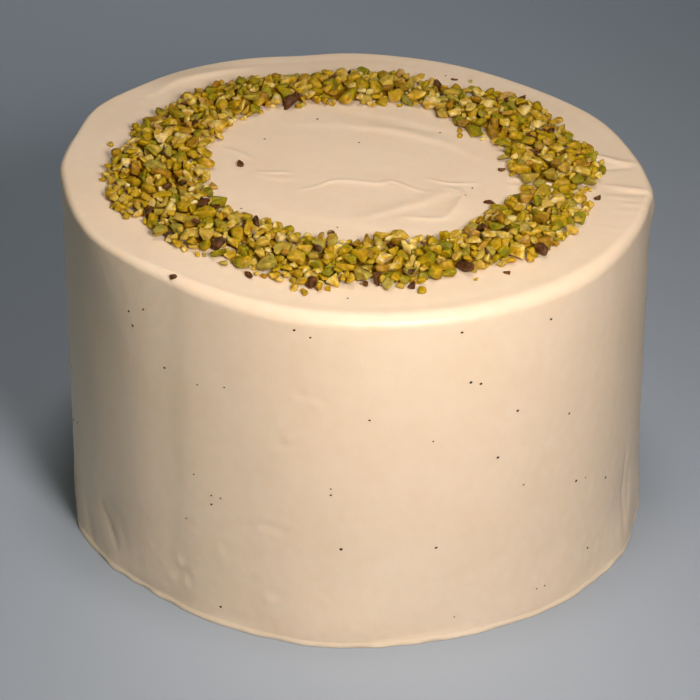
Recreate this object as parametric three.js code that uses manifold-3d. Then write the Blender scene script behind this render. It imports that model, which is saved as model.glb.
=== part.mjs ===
// Chiffon cake under smooth cream frosting, with a wreath of chopped pistachios on top.
// Millimetres, +Z up. The cake stands on z = 0 and its foot is centred on the origin.
import * as THREE from 'three';
import { mergeVertices } from 'three/addons/utils/BufferGeometryUtils.js';
import Module from 'manifold-3d';

// ---- driving dimensions of the cake ----
const CAKE_RADIUS = 87.5; // frosted wall, without its unevenness
const CAKE_HEIGHT = 110; // foot to the mean level of the top
const EDGE_RADIUS = 5; // rounded edge between the wall and the top
const FOOT_FLARE = 1.2; // frosting pushed outwards at the very bottom
const FOOT_LIP = 0.7; // upright part of that foot
const FOOT_HEIGHT = 2.6; // where the foot has run out into the wall
const LEAN = -0.0094; // the cake leans this much towards -X for each mm of height
const TOP_TILT = -1.8; // rise of the top between its middle and the +X edge
const TOP_SADDLE = 0.7; // rise along X and fall along Y, at the edge

// ---- driving dimensions of the wreath ----
const WREATH_INNER = 46.7; // mean radius of the wreath's inner outline
const WREATH_OUTER = 70.9; // mean radius of its outer outline
const MOUND_HEIGHT = 3.0; // the packed crumbs under the pieces that show
const MOUND_SKIRT = 3; // the mound is made this deep, then trimmed by the frosting
const MOUND_INSET = 0.09; // the mound ends this share of the width inside each outline
const NUT_GAP = 0.3; // clearance between the wreath and the frosting
const NUT_LENGTH = [4.2, 7.6]; // shortest and longest piece
const NUT_COUNT = 215;
const NUT_STRAY = 1.2; // a piece lies at most this far from its even place, each way
const NUT_LIFT = 1.0; // middle of a piece above the mound
const NUT_TIP = 0.45; // steepest tip of a piece, in radians

// ---- fineness of the solids ----
const CAKE_SEGMENTS = 56;
const WALL_RINGS = 8;
const EDGE_RINGS = 5;
const MOUND_SEGMENTS = 40;
const MOUND_RINGS = 4;
// Radii of the rings over the top: close together in the middle, which has the knife strokes.
const TOP_RINGS = [76, 68, 59, 50, 44, 40, 36, 32, 28, 24, 20, 16, 12, 8, 4];

// Palette-knife strokes left in the middle of the top: each runs from one point to another,
// bows to its left, and rises to a soft crest that is steeper on its inner side.
const STROKES = [
  { from: [-27, 30], to: [28, 19], bow: 7, width: 2.6, height: 0.8 },
  { from: [-16, -7], to: [20, -11], bow: 3, width: 2.4, height: 0.6 },
  { from: [28, -8], to: [23, -29], bow: 4, width: 2.2, height: 0.9 },
  { from: [9, -31], to: [25, -28], bow: 1, width: 2.0, height: 0.5 },
  { from: [-40, 25], to: [-31, 10], bow: 2, width: 2.4, height: 0.5 },
];

// Dents and swellings of the wall: bearing in degrees, height, spread in mm, and depth.
const WALL_MARKS = [
  { bearing: -148, z: 15, spread: 9, rise: -0.8 },
  { bearing: -21, z: 18, spread: 9, rise: -0.7 },
  { bearing: -2, z: 104, spread: 6, rise: 1.3 },
  { bearing: -90, z: 4, spread: 12, rise: 0.9 },
  { bearing: -5, z: 6, spread: 9, rise: 0.8 },
  { bearing: 132, z: 100, spread: 14, rise: 0.9 },
];

// Bits of nut that lie apart from the wreath, stuck to the frosting: place and length.
const LOOSE_BITS = [
  { x: -51.4, y: -68.4, length: 2.8 },
  { x: -35.4, y: 0.8, length: 3.2 },
  { x: 31.2, y: 30.5, length: 2.6 },
  { x: 31.1, y: 25.6, length: 2.4 },
  { x: 42.7, y: 3.8, length: 3.0 },
  { x: 39.5, y: -18.1, length: 4.0 },
  { x: -74.3, y: 9.7, length: 2.6 },
  { x: 43.0, y: -59.8, length: 2.8 },
  { x: 18.6, y: -71.6, length: 3.4 },
  { x: 30.4, y: 69.0, length: 2.4 },
  { x: -6.8, y: -40.6, length: 3.4 },
];

const GOLDEN_RATIO = (1 + Math.sqrt(5)) / 2;

const wasm = await Module();
wasm.setup();

// A repeatable stream of numbers from 0 to 1.
function randomStream(seed) {
  let state = seed;
  return () => {
    state = (state + 0x6d2b79f5) | 0;
    let t = Math.imul(state ^ (state >>> 15), 1 | state);
    t = (t + Math.imul(t ^ (t >>> 7), 61 | t)) ^ t;
    return ((t ^ (t >>> 14)) >>> 0) / 4294967296;
  };
}

const blend = THREE.MathUtils.lerp;

// ---- closed meshes to solids and back ----
function closedMesh(geometry) {
  const bare = new THREE.BufferGeometry();
  bare.setAttribute('position', geometry.attributes.position.clone());
  if (geometry.index) {
    bare.setIndex(geometry.index.clone());
  }
  return mergeVertices(bare, 1e-3);
}

function toSolid(geometry) {
  const mesh = closedMesh(geometry);
  return new wasm.Manifold(new wasm.Mesh({
    numProp: 3,
    vertProperties: new Float32Array(mesh.attributes.position.array),
    triVerts: new Uint32Array(dropFlatFaces(mesh.index.array)),
  }));
}

// A lathed point on the axis collapses one side of its faces: those faces go.
function dropFlatFaces(index) {
  const kept = [];
  for (let i = 0; i < index.length; i += 3) {
    const [a, b, c] = [index[i], index[i + 1], index[i + 2]];
    if (a !== b && b !== c && c !== a) {
      kept.push(a, b, c);
    }
  }
  return kept;
}

function toGeometry(solid) {
  const mesh = solid.getMesh();
  const geometry = new THREE.BufferGeometry();
  geometry.setAttribute('position', new THREE.BufferAttribute(new Float32Array(mesh.vertProperties), 3));
  geometry.setIndex(new THREE.BufferAttribute(new Uint32Array(mesh.triVerts), 1));
  geometry.computeVertexNormals();
  return geometry;
}

// Moves every point of a geometry by a function that changes a Vector3 in place.
function reshape(geometry, move) {
  const positions = geometry.attributes.position;
  const point = new THREE.Vector3();
  for (let i = 0; i < positions.count; i += 1) {
    point.fromBufferAttribute(positions, i);
    move(point);
    positions.setXYZ(i, point.x, point.y, point.z);
  }
  return geometry;
}

// ---- the uneven, hand-frosted form ----
function strokeRise(x, y, stroke) {
  const from = new THREE.Vector2(...stroke.from);
  const along = new THREE.Vector2(...stroke.to).sub(from);
  const length = along.length();
  along.normalize();
  const offset = new THREE.Vector2(x, y).sub(from);
  const t = offset.dot(along) / length;
  if (t <= 0 || t >= 1) {
    return 0;
  }
  const across = along.cross(offset) - stroke.bow * 4 * t * (1 - t);
  const width = across > 0 ? stroke.width * 2.2 : stroke.width;
  return stroke.height * Math.sin(Math.PI * t) * Math.exp(-((across / width) ** 2));
}

// How far the top lies above its mean level at a place on the cake.
function topRise(x, y) {
  const tilt = TOP_TILT * x / CAKE_RADIUS;
  const saddle = TOP_SADDLE * (x * x - y * y) / CAKE_RADIUS ** 2;
  const strokes = STROKES.reduce((sum, stroke) => sum + strokeRise(x, y, stroke), 0);
  return tilt + saddle + strokes;
}

// How far the wall stands outside a true cylinder, at a bearing and a height.
function wallRise(bearing, z) {
  const atTop = -0.35 * Math.sin(2 * bearing) - 0.45 * Math.cos(3 * bearing);
  const atFoot = -Math.sin(2 * bearing) + 0.3 * Math.cos(3 * bearing) + 0.9 * Math.sin(3 * bearing);
  const drag = 0.22 * Math.sin(7 * bearing + 1.3) + 0.12 * Math.sin(11 * bearing + z / 40);
  const foot = 0.35 * Math.sin(9 * bearing + 0.6) * Math.exp(-((z / FOOT_HEIGHT) ** 2));
  const marks = WALL_MARKS.reduce((sum, mark) => {
    const turn = bearing - THREE.MathUtils.degToRad(mark.bearing);
    const across = CAKE_RADIUS * Math.atan2(Math.sin(turn), Math.cos(turn));
    return sum + mark.rise * Math.exp(-(across ** 2 + (z - mark.z) ** 2) / mark.spread ** 2);
  }, 0);
  return blend(atFoot, atTop, z / CAKE_HEIGHT) + drag + foot + marks;
}

// Turns a point of the plain round cake into the same point of the uneven one.
function unevenCake(point) {
  const { x, y, z } = point;
  const bearing = Math.atan2(y, x);
  const stretch = 1 + wallRise(bearing, z) / CAKE_RADIUS;
  const share = Math.min(z / CAKE_HEIGHT, 1) ** 2;
  point.z = z + share * topRise(x * stretch, y * stretch);
  point.x = x * stretch + LEAN * z;
  point.y = y * stretch;
}

// The level of the frosting under a place on the top, and that place on the leaning cake.
function onTop(x, y, above) {
  return new THREE.Vector3(x + LEAN * CAKE_HEIGHT, y, CAKE_HEIGHT + topRise(x, y) + above);
}

// ---- the frosted cake ----
function cakeProfile() {
  const points = [new THREE.Vector2(0, 0), new THREE.Vector2(CAKE_RADIUS / 2, 0)];
  points.push(new THREE.Vector2(CAKE_RADIUS + FOOT_FLARE, 0));
  points.push(new THREE.Vector2(CAKE_RADIUS + FOOT_FLARE, FOOT_LIP));
  points.push(new THREE.Vector2(CAKE_RADIUS + FOOT_FLARE / 3, (FOOT_LIP + FOOT_HEIGHT) / 2));
  const edgeStart = CAKE_HEIGHT - EDGE_RADIUS;
  for (let i = 0; i <= WALL_RINGS; i += 1) {
    points.push(new THREE.Vector2(CAKE_RADIUS, blend(FOOT_HEIGHT, edgeStart, i / WALL_RINGS)));
  }
  for (let i = 1; i <= EDGE_RINGS; i += 1) {
    const angle = (Math.PI / 2) * (i / EDGE_RINGS);
    const radius = CAKE_RADIUS - EDGE_RADIUS * (1 - Math.cos(angle));
    points.push(new THREE.Vector2(radius, edgeStart + EDGE_RADIUS * Math.sin(angle)));
  }
  TOP_RINGS.forEach((radius) => points.push(new THREE.Vector2(radius, CAKE_HEIGHT)));
  points.push(new THREE.Vector2(0, CAKE_HEIGHT));
  return points;
}

function plainCake() {
  const geometry = new THREE.LatheGeometry(cakeProfile(), CAKE_SEGMENTS);
  geometry.rotateX(Math.PI / 2);
  return reshape(geometry, unevenCake);
}

// ---- pieces of chopped nut ----
// A skewed block is a piece cut on all sides; a lump keeps some of the nut's round outside.
function nutPiece(length, random) {
  const cut = random() < 0.65;
  const plain = cut ? new THREE.BoxGeometry(1, 1, 1) : new THREE.IcosahedronGeometry(0.56, 0);
  const geometry = closedMesh(plain);
  const jitter = cut ? 0.26 : 0.12;
  reshape(geometry, (point) => {
    point.x += (random() - 0.5) * jitter;
    point.y += (random() - 0.5) * jitter;
    point.z += (random() - 0.5) * jitter;
  });
  geometry.scale(length, length * blend(0.5, 0.78, random()), length * blend(0.38, 0.6, random()));
  return geometry;
}

// Turns a piece about random axes, tipping it up by at most the given angle, and sets it down.
function setDown(geometry, place, tip, random) {
  const yaw = random() * 2 * Math.PI;
  const lean = (random() - 0.5) * 2 * tip;
  const roll = (random() - 0.5) * 2 * tip;
  geometry.rotateX(roll);
  geometry.rotateY(lean);
  geometry.rotateZ(yaw);
  geometry.translate(place.x, place.y, place.z);
  return geometry;
}

function looseBits(random) {
  return LOOSE_BITS.map((bit) => {
    const piece = nutPiece(bit.length, random);
    return toSolid(setDown(piece, onTop(bit.x, bit.y, bit.length * 0.12), 0.3, random));
  });
}

// ---- the wreath ----
// How full the wreath is at a bearing: it thins out at the right and at the back right.
function fullness(bearing) {
  const thin = (degrees, spread, share) => {
    const turn = bearing - THREE.MathUtils.degToRad(degrees);
    const away = Math.atan2(Math.sin(turn), Math.cos(turn));
    return share * Math.exp(-((away / spread) ** 2));
  };
  return 1 - thin(-8, 0.13, 0.4) - thin(72, 0.2, 0.2) - thin(-126, 0.1, 0.25);
}

function wreathInner(bearing) {
  const oval = -1.5 * Math.cos(2 * bearing) - 0.8 * Math.sin(2 * bearing);
  const ripple = 0.9 * Math.sin(5 * bearing + 0.8) + 0.7 * Math.sin(11 * bearing + 2.1);
  return WREATH_INNER + oval + ripple + 3 * (1 - fullness(bearing));
}

function wreathOuter(bearing) {
  const oval = 2 * Math.cos(2 * bearing) + 2 * Math.sin(2 * bearing) - 1.2 * Math.sin(bearing);
  const ripple = 0.7 * Math.sin(5 * bearing + 2.6) + 0.7 * Math.sin(9 * bearing + 0.4);
  return WREATH_OUTER + oval + ripple - 3 * (1 - fullness(bearing));
}

// Height of the mound above the frosting, at a share of the way across the wreath. It has
// run down to nothing a little inside both outlines.
function moundHeight(share, bearing) {
  const across = (share - MOUND_INSET) / (1 - 2 * MOUND_INSET);
  const arch = Math.sqrt(Math.max(0, 1 - Math.abs(2 * across - 1) ** 3));
  const lumps = 1 + 0.16 * Math.sin(8 * bearing + 1.7) + 0.12 * Math.sin(17 * bearing + 4 * share);
  return MOUND_HEIGHT * arch * lumps * fullness(bearing);
}

function mound() {
  // The closed outline of one slice: x is the share across the wreath, y the share of height.
  const slice = [new THREE.Vector2(1, 0), new THREE.Vector2(2, 0)];
  for (let i = 0; i <= MOUND_RINGS; i += 1) {
    slice.push(new THREE.Vector2(2 - i / MOUND_RINGS, 1));
  }
  slice.push(new THREE.Vector2(1, 0));
  const geometry = new THREE.LatheGeometry(slice, MOUND_SEGMENTS);
  geometry.rotateX(Math.PI / 2);
  return reshape(geometry, (point) => {
    const bearing = Math.atan2(point.y, point.x);
    const share = blend(MOUND_INSET, 1 - MOUND_INSET, Math.hypot(point.x, point.y) - 1);
    const radius = blend(wreathInner(bearing), wreathOuter(bearing), share);
    const above = point.z > 0.5 ? 0.5 + moundHeight(share, bearing) : -MOUND_SKIRT;
    point.copy(onTop(radius * Math.cos(bearing), radius * Math.sin(bearing), above));
  });
}

function clearOfLooseBits(x, y, length) {
  return LOOSE_BITS.every((bit) => {
    const reach = 0.7 * (bit.length + length) + 2 * NUT_GAP;
    return Math.hypot(x - bit.x, y - bit.y) > reach;
  });
}

// Pieces are spread evenly over the wreath, as seeds are in a sunflower: each one is a golden
// angle further round and a little further out than the one before.
function wreathPieces(random) {
  const pieces = [];
  for (let i = 0; i < NUT_COUNT; i += 1) {
    const bearing = 2 * Math.PI * ((i * GOLDEN_RATIO) % 1);
    const [inner, outer] = [wreathInner(bearing), wreathOuter(bearing)];
    const radius = Math.sqrt(blend(inner ** 2, outer ** 2, (i + 0.5) / NUT_COUNT));
    const x = radius * Math.cos(bearing) + NUT_STRAY * (2 * random() - 1);
    const y = radius * Math.sin(bearing) + NUT_STRAY * (2 * random() - 1);
    const length = blend(...NUT_LENGTH, random());
    const piece = nutPiece(length, random);
    if (random() > fullness(bearing) || !clearOfLooseBits(x, y, length)) {
      continue;
    }
    const share = (radius - inner) / (outer - inner);
    const place = onTop(x, y, moundHeight(share, bearing) + NUT_LIFT);
    pieces.push(toSolid(setDown(piece, place, NUT_TIP, random)));
  }
  return pieces;
}

// The outside of a solid alone: hollows shut in by the joining are filled, scraps dropped.
function outerShell(solid) {
  const shells = solid.decompose();
  return shells.reduce((best, shell) => (shell.volume() > best.volume() ? shell : best));
}

function union(first, others) {
  return others.reduce((sum, solid) => sum.add(solid), first);
}

// ---- materials ----
function creamFrosting() {
  return new THREE.MeshStandardMaterial({ color: 0xe6cdb2, roughness: 0.42, metalness: 0 });
}

function choppedPistachio() {
  return new THREE.MeshStandardMaterial({ color: 0xa39a3a, roughness: 0.55, metalness: 0 });
}

function namedMesh(name, geometry, material) {
  const mesh = new THREE.Mesh(geometry, material);
  mesh.name = name;
  return mesh;
}

const cakeBody = toSolid(plainCake());
const cake = outerShell(union(cakeBody, looseBits(randomStream(11))));
const frostingWithGap = cakeBody.translate([0, 0, NUT_GAP]);
const heap = union(toSolid(mound()), wreathPieces(randomStream(29)));
const wreath = outerShell(heap.subtract(frostingWithGap));

// The foot of the cake is uneven, so the cake is set over the origin by its own box.
const cakeGeometry = toGeometry(cake);
cakeGeometry.computeBoundingBox();
const middle = cakeGeometry.boundingBox.getCenter(new THREE.Vector3());

const chiffonCake = new THREE.Group();
chiffonCake.add(namedMesh('frosted_cake', cakeGeometry, creamFrosting()));
chiffonCake.add(namedMesh('pistachio_wreath', toGeometry(wreath), choppedPistachio()));
chiffonCake.position.set(-middle.x, -middle.y, 0);

export default chiffonCake;
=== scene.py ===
# Chiffon cake under smooth cream frosting, with a wreath of chopped pistachios on its top.
# Sizes are in millimetres until a mesh is made, and every mesh is in metres.
import itertools
import math

import bmesh
import bpy
import numpy as np
from mathutils import Euler, Matrix, Vector


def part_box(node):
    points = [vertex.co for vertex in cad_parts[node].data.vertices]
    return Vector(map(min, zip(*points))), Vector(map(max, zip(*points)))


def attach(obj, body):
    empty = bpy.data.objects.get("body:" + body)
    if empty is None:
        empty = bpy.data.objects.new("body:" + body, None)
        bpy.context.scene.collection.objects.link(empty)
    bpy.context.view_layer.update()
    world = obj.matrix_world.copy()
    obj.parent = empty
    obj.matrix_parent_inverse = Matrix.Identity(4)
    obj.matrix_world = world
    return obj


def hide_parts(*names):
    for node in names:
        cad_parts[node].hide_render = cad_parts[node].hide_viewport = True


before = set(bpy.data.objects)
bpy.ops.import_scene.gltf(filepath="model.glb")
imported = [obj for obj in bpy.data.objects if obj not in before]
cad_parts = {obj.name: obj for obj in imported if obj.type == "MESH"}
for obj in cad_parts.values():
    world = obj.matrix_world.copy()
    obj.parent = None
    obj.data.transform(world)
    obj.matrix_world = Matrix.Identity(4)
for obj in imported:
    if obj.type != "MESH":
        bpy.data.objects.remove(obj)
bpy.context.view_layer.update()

MM = 0.001

# ---- the cake, as the model has it ----
CAKE_RADIUS = 87.5
CAKE_HEIGHT = 110.0
FOOT_HEIGHT = 2.6
# The lip of cream at the foot: how far out, and how high.
FOOT = [(0.6, 0.0), (0.7, 0.1), (0.74, 0.35), (0.64, 0.62), (0.4, 0.95), (0.18, 1.35),
        (0.04, 1.7), (0.0, 2.0), (0.02, 2.3)]
LEAN = -0.0094
TOP_TILT = -1.8
TOP_SADDLE = 0.7

# Palette-knife strokes on the top: from, to, how far the stroke bows to its left, the width of
# its steep side, and its height.
STROKES = [
    ((-27, 30), (28, 19), 7, 2.6, 0.8),
    ((-16, -7), (20, -11), 3, 2.4, 0.6),
    ((28, -8), (23, -29), 4, 2.2, 0.9),
    ((9, -31), (25, -28), 1, 2.0, 0.5),
    ((-40, 25), (-31, 10), 2, 2.4, 0.5),
]
FINE_STROKES = [
    ((-35, -20), (30, -36), -4, 3.5, 0.25),
    ((-10, 44), (38, 22), 4, 2.5, 0.25),
]
# Sharper marks of the knife: the places they run through, the width of the side that lies to
# the right of the line, of its left side, and the height.
RIDGES = [
    ([(-16, -13), (-12, -11), (-8, -7), (-4, -6), (2, -7), (7, -8), (10, -5), (14, -8),
      (18, -11), (22, -12)], 0.8, 0.9, 0.26),
    ([(21, -3), (25, -5), (28, -6), (36, -5)], 0.8, 0.9, 0.24),
    ([(26, -9), (30, -10), (31, -14), (30, -18), (28, -24), (26, -28), (22, -29), (14, -28)],
     0.8, 1.4, 0.3),
    ([(2, -30), (8, -26), (14, -22), (20, -18), (24, -13), (31, -10)], 1.8, 3.0, 0.35),
    ([(-40, 13), (-36, 10), (-31, 5)], 0.9, 1.1, 0.28),
    ([(-29, -3), (-25, -3), (-20, -2)], 0.9, 1.0, 0.28),
    ([(-29, -4), (-24, -7), (-19, -6)], 1.6, 2.0, 0.2),
    ([(0, 30), (7, 30), (14, 28), (22, 24), (29, 20), (35, 13)], 1.6, 3.2, 0.3),
    ([(7, 33), (17, 31), (28, 28)], 1.2, 1.6, -0.1),
    ([(-63, 48), (-57, 58), (-45, 66), (-36, 70)], 1.6, 3.5, 0.8),
    ([(-54, 54), (-45, 54)], 1.6, 2.6, -0.4),
    ([(69, 18), (73, 17), (78, 14), (84, 13)], 0.7, 2.0, 0.7),
    ([(73, 9), (75, 9), (82, 11)], 0.6, 1.0, -0.5),
    ([(74, -3), (79, -4), (88, -6)], 0.6, 1.4, 0.6),
    ([(75, -7), (88, -8)], 0.6, 0.9, -0.4),
    ([(74, -10), (82, -11)], 0.5, 0.7, 0.3),
    ([(77, -14), (85, -15)], 0.5, 0.7, 0.25),
    ([(76, -19), (84, -20)], 0.5, 0.7, 0.2),
    ([(70, -30), (78, -31)], 0.5, 0.7, 0.2),
    ([(47, -1), (57, -5), (66, -7)], 1.0, 1.8, 0.9),
    ([(46, -6), (54, -9), (61, -14)], 0.9, 1.6, 0.7),
]
# Where the top sags towards its rim: bearing in degrees, half width, and how far.
RIM_SAGS = [(-100, 40, 1.2), (-150, 12, 0.5), (30, 38, 1.5), (103, 8, 0.8)]
STROKE_SHARE = 0.35  # how much of the model's strokes is left where the finer ones take over

# Dents and swellings of the wall: bearing in degrees, height, spread and rise.
WALL_MARKS = [
    (-148, 15, 9, -0.8),
    (-21, 18, 9, -0.7),
    (-2, 104, 6, 1.3),
    (-90, 4, 12, 0.9),
    (-5, 6, 9, 0.8),
    (132, 100, 14, 0.9),
]
# Smaller ones, too fine for the model, in the same four values.
FINE_MARKS = [
    (57, 108, 16, -1.0), (32, 108, 14, 1.0), (167, 108, 10, -0.7), (152, 108, 12, 0.8),
    (-178, 108, 7, 0.6), (-150, 108, 18, 1.4), (-102, 68, 1.6, 0.14), (-97, 80, 1.8, 0.14),
    (-107, 35, 1.8, 0.14), (-106, 13, 1.5, 0.3), (-126, 12, 2.2, -0.35), (-124, 9, 1.5, 0.3),
    (-128, 9, 1.5, 0.25), (-126, 16, 1.8, 0.25), (-107, 72, 2.0, -0.12), (-88, 42, 2.5, -0.12),
    (-115, 22, 2.5, 0.15), (-70, 30, 5, 0.12), (-112, 50, 6, -0.12), (-60, 88, 7, 0.12),
    (-48, 20, 3.0, -0.2), (-44, 15, 2.2, 0.2),
]
# Where the foot spreads: bearing in degrees, half width, and how far.
FOOT_SPREADS = [(-22, 9, 1.6), (-45, 11, 1.0), (-98, 8, 1.0), (-146, 6, 0.8), (-162, 6, 1.3)]
# Scrapes of the knife in the wall: start and end as bearing and height, width and depth.
SCRAPES = [
    ((-158, 14), (-151, 17), 1.2, 0.25),
    ((-151, 17), (-148, 13), 1.2, 0.35),
    ((-148, 13), (-145, 8), 1.2, 0.4),
    ((-161, 20), (-156, 3), 2.0, 0.35),
    ((-20, 32), (-21, 6), 1.4, 0.35),
    ((-17, 26), (-18, 12), 1.2, 0.2),
    ((-100, 83), (-95, 82), 0.7, 0.22),
    ((-104, 66), (-101, 66), 0.9, 0.25),
    ((-110, 36), (-107, 38), 0.7, 0.22),
    ((-107, 38), (-103, 37), 0.7, 0.22),
    ((-105, 15), (-103, 15), 0.8, 0.2),
    ((-125, 18), (-123, 9), 0.8, 0.25),
    ((-86, 2.4), (-66, 3.4), 0.5, 0.2),
]

# Where the knife stopped: bearing, depth, and how wide the hollow is to its right and left.
KNIFE_STOP = -128
KNIFE_STOP_DEPTH = 0.34
KNIFE_STOP_WIDTHS = (5.0, 9.0)

# How fine the cake's mesh is: points round it, and rings up the wall, over the edge and across.
CAKE_AROUND = 432
WALL_RINGS = 88
EDGE_RINGS = 13
TOP_RINGS = 112

# ---- the wreath, as the model has it ----
WREATH_INNER = 46.7
WREATH_OUTER = 70.9
PILE_HEIGHT = 4.6
EDGE_HEIGHT = 2.0
BED_HEIGHT = 1.1
# The bed starts at this share of the way across the wreath, and is this share of it wide.
BED_INSET = 0.2
BED_WIDTH = 0.6


def degrees(value):
    return math.radians(value)


def angle_from(bearing, target):
    """The turn from a bearing to a target bearing, between minus and plus half a turn."""
    turn = bearing - target
    return np.arctan2(np.sin(turn), np.cos(turn))


def smooth_step(value):
    share = np.clip(value, 0.0, 1.0)
    return share * share * (3 - 2 * share)


def strayed(bearing, strays):
    """How far something strays at a bearing: each stray is a bearing, a half width and a reach."""
    return sum(reach * np.exp(-((angle_from(bearing, degrees(place)) / degrees(width)) ** 2))
               for place, width, reach in strays)


# ---- the uneven, hand-frosted form ----
def stroke_rise(x, y, stroke):
    (x0, y0), (x1, y1), bow, width, height = stroke
    length = math.hypot(x1 - x0, y1 - y0)
    ux, uy = (x1 - x0) / length, (y1 - y0) / length
    t = ((x - x0) * ux + (y - y0) * uy) / length
    bent = bow * 4 * t * (1 - t)
    across = ux * (y - y0) - uy * (x - x0) - bent
    spread = np.where(across > 0, width * 2.2, width)
    fade = np.sin(np.pi * np.clip(t, 0, 1))
    return height * fade * np.exp(-((across / spread) ** 2))


def ridge_rise(x, y, ridge):
    """A mark along a line through several places: steep to its right, gentle to its left."""
    places, steep, gentle, height = ridge
    for _ in range(2):  # rounds the line's corners
        cut = [((3 * a[0] + b[0]) / 4, (3 * a[1] + b[1]) / 4, (a[0] + 3 * b[0]) / 4,
                (a[1] + 3 * b[1]) / 4) for a, b in zip(places, places[1:])]
        places = [places[0], *[c[k:k + 2] for c in cut for k in (0, 2)], places[-1]]
    runs = [math.dist(a, b) for a, b in zip(places, places[1:])]
    nearest = np.full(np.shape(x), 1e9)
    side = np.zeros(np.shape(x))
    along = np.zeros(np.shape(x))
    done = 0.0
    for (x0, y0), (x1, y1), run in zip(places, places[1:], runs):
        ux, uy = (x1 - x0) / run, (y1 - y0) / run
        t = np.clip((x - x0) * ux + (y - y0) * uy, 0, run)
        away = np.hypot(x - x0 - t * ux, y - y0 - t * uy)
        closer = away < nearest
        nearest = np.where(closer, away, nearest)
        side = np.where(closer, ux * (y - y0) - uy * (x - x0), side)
        along = np.where(closer, done + t, along)
        done += run
    spread = np.where(side > 0, gentle, steep)
    fade = np.sin(np.pi * np.clip(0.06 + 0.88 * along / done, 0, 1)) ** 0.7
    return height * fade * np.exp(-((nearest / spread) ** 2))


def top_rise(x, y):
    tilt = TOP_TILT * x / CAKE_RADIUS
    saddle = TOP_SADDLE * (x * x - y * y) / CAKE_RADIUS**2
    strokes = sum(stroke_rise(x, y, stroke) for stroke in STROKES)
    return tilt + saddle + STROKE_SHARE * strokes


def soft_waves(a, b, seed, count, reach_a, reach_b):
    """A smooth unevenness between about -1 and 1. Along a it has whole numbers of waves, so
    that it closes on itself."""
    rng = np.random.default_rng(seed)
    total = np.zeros_like(a + b)
    for _ in range(count):
        waves_a = int(rng.integers(reach_a[0], reach_a[1] + 1))
        waves_b = rng.uniform(-reach_b, reach_b)
        total += np.sin(waves_a * a + waves_b * b + rng.uniform(0, 2 * np.pi))
    return total / math.sqrt(count)


def fine_top(x, y):
    """Relief of the top that is too fine for the model."""
    strokes = sum(stroke_rise(x, y, stroke) for stroke in FINE_STROKES)
    strokes = strokes + sum(ridge_rise(x, y, ridge) for ridge in RIDGES)
    swept = soft_waves(x / 40, y / 16, 4, 12, (-3, 3), 2.6)
    radius = np.hypot(x, y)
    rim_groove = 0.07 * np.exp(-(((radius - 81.0) / 1.6) ** 2))
    near_rim = smooth_step((radius - 48) / 38)
    sag = near_rim * strayed(np.arctan2(y, x), RIM_SAGS)
    return strokes + 0.07 * swept - rim_groove - sag


def wall_rise(bearing, z):
    at_top = -0.35 * np.sin(2 * bearing) - 0.45 * np.cos(3 * bearing)
    at_foot = -np.sin(2 * bearing) + 0.3 * np.cos(3 * bearing) + 0.9 * np.sin(3 * bearing)
    drag = 0.22 * np.sin(7 * bearing + 1.3) + 0.12 * np.sin(11 * bearing + z / 40)
    foot = 0.35 * np.sin(9 * bearing + 0.6) * np.exp(-((z / FOOT_HEIGHT) ** 2))
    marks = 0.0
    for place, height, spread, rise in WALL_MARKS:
        across = CAKE_RADIUS * angle_from(bearing, degrees(place))
        marks = marks + rise * np.exp(-(across**2 + (z - height) ** 2) / spread**2)
    share = z / CAKE_HEIGHT
    return at_foot + (at_top - at_foot) * share + drag + foot + marks


def scrape_depth(bearing, z, scrape):
    (a0, z0), (a1, z1), width, depth = scrape
    across = CAKE_RADIUS * angle_from(bearing, degrees(a0))
    run = CAKE_RADIUS * degrees(a1 - a0)
    rise = z1 - z0
    t = np.clip((across * run + (z - z0) * rise) / (run**2 + rise**2), 0, 1)
    away = np.hypot(across - t * run, z - z0 - t * rise)
    return depth * np.exp(-((away / width) ** 2))


def fine_wall(bearing, z):
    """Relief of the wall that is too fine for the model: knife drags, pits and scrapes."""
    rise = 0.04 * soft_waves(bearing, z, 7, 9, (5, 24), 0.04)
    rise = rise + 0.05 * soft_waves(bearing, z, 8, 12, (-14, 14), 0.16)
    mottled = soft_waves(bearing, z, 12, 60, (-130, 130), 1.5)
    rise = rise + (0.03 + 0.03 * np.exp(-((z / 30) ** 2))) * mottled
    for place, height, spread, lift in FINE_MARKS:
        across = CAKE_RADIUS * angle_from(bearing, degrees(place))
        rise = rise + lift * np.exp(-(across**2 + (z - height) ** 2) / spread**2)
    for scrape in SCRAPES:
        rise = rise - scrape_depth(bearing, z, scrape)
    # Where the knife stopped, an upright hollow is left, steeper to its right.
    stop = CAKE_RADIUS * angle_from(bearing, degrees(KNIFE_STOP))
    widths = np.where(stop > 0, *KNIFE_STOP_WIDTHS)
    rise = rise - KNIFE_STOP_DEPTH * np.exp(-((stop / widths) ** 2))
    spread = strayed(bearing, FOOT_SPREADS) * np.exp(-((z / 14) ** 2))
    ragged = 0.18 * soft_waves(bearing, z, 9, 10, (5, 60), 0.0) - 0.3
    ragged = np.clip(ragged, -0.6, 0.4) * np.exp(-((z / 0.8) ** 6))
    return rise * smooth_step(z / 3.0) + spread + ragged


def uneven_cake(points):
    """Turns points of the plain round cake into the same points of the uneven one."""
    x, y, z = points.T
    bearing = np.arctan2(y, x)
    radius = np.hypot(x, y)
    near_wall = smooth_step((radius - 0.8 * CAKE_RADIUS) / (0.15 * CAKE_RADIUS))
    stretch = 1 + (wall_rise(bearing, z) + near_wall * fine_wall(bearing, z)) / CAKE_RADIUS
    share = np.clip(z / CAKE_HEIGHT, 0, 1) ** 2
    x, y = x * stretch, y * stretch
    fine_share = smooth_step((z - 0.9 * CAKE_HEIGHT) / (0.1 * CAKE_HEIGHT))
    rise = share * top_rise(x, y) + fine_share * fine_top(x, y)
    return np.column_stack([x + LEAN * z, y, z + rise])


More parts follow.
